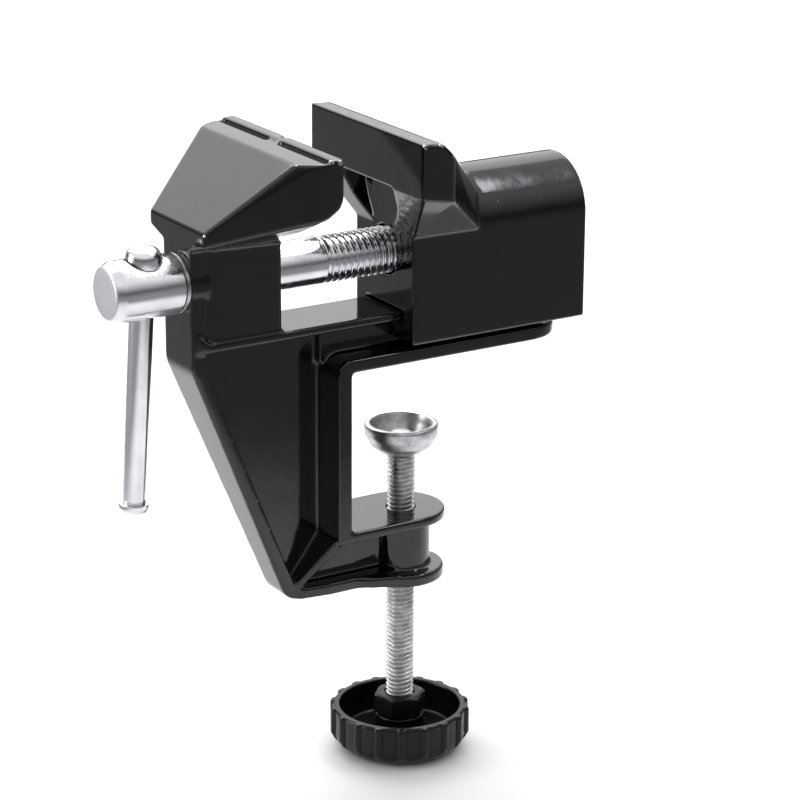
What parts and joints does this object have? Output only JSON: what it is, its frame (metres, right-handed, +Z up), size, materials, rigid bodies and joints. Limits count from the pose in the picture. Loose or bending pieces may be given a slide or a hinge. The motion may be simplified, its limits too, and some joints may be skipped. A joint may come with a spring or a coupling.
{
  "type": "bench vise",
  "caption": "Small clamp-on bench vise: cast frame with a fixed wedge jaw, sliding jaw on a lead screw with a sliding handle bar, and a screw clamp for the bench edge.",
  "frame": {"origin": "on the clamp screw's axis, at the face that rests on the bench top", "axes": "+X along the main screw from the handle towards the sliding jaw; +Z up; +Y to the left seen from the handle"},
  "size_m": [0.1082, 0.0448, 0.141],
  "materials": {
    "black_paint": "glossy black enamel over a die casting",
    "chrome": "bright chrome plate",
    "bright_steel": "turned bright steel",
    "zinc_plate": "dull zinc plate",
    "black_plastic": "moulded gloss plastic",
    "black_nut": "black oxide"
  },
  "bodies": {
    "frame": {"frame_casting": "black_paint", "thrust_washer": "bright_steel", "retaining_pin": "bright_steel"},
    "main_screw": {"main_screw": "chrome"},
    "tommy_bar": {"tommy_bar": "chrome", "bar_top_cap": "chrome", "bar_bottom_cap": "chrome"},
    "sliding_jaw": {"sliding_jaw": "black_paint", "jaw_nut": "bright_steel"},
    "pad_ring": {"pad_retaining_ring": "bright_steel"},
    "clamp_screw": {"clamp_screw": "zinc_plate", "clamp_knob": "black_plastic", "knob_lock_nut": "black_nut"},
    "swivel_pad": {"swivel_pad": "zinc_plate"}
  },
  "joints": [
    {"name": "screw_spin", "type": "hinge", "parent": "frame", "child": "main_screw", "pos_m": [-0.0609, 0, 0.02245], "axis": [1, 0, 0], "range_deg": [-2812, 4386]},
    {"name": "jaw_slide", "type": "slide", "parent": "frame", "child": "sliding_jaw", "axis": [1, 0, 0], "range_m": [-0.01826, 0.0117]},
    {"name": "bar_slide", "type": "slide", "parent": "main_screw", "child": "tommy_bar", "axis": [0, -0.1236, 0.9923], "range_m": [0, 0.0422]},
    {"name": "clamp_lift", "type": "slide", "parent": "frame", "child": "pad_ring", "axis": [0, 0, 1], "range_m": [-0.0123, 0.0155]},
    {"name": "clamp_spin", "type": "hinge", "parent": "pad_ring", "child": "clamp_screw", "pos_m": [0, 0, -0.05], "axis": [0, 0, 1], "range_deg": [-4420, 5570]},
    {"name": "pad_tilt", "type": "hinge", "parent": "pad_ring", "child": "swivel_pad", "pos_m": [0, 0, -0.0212], "axis": [0, 1, 0], "range_deg": [-4, 4]}
  ],
  "couplings": [
    {"joint": "screw_spin", "follows": "jaw_slide", "rad_per_m": -4188.8},
    {"joint": "clamp_lift", "follows": "clamp_spin", "m_per_rad": 0.00015915}
  ]
}
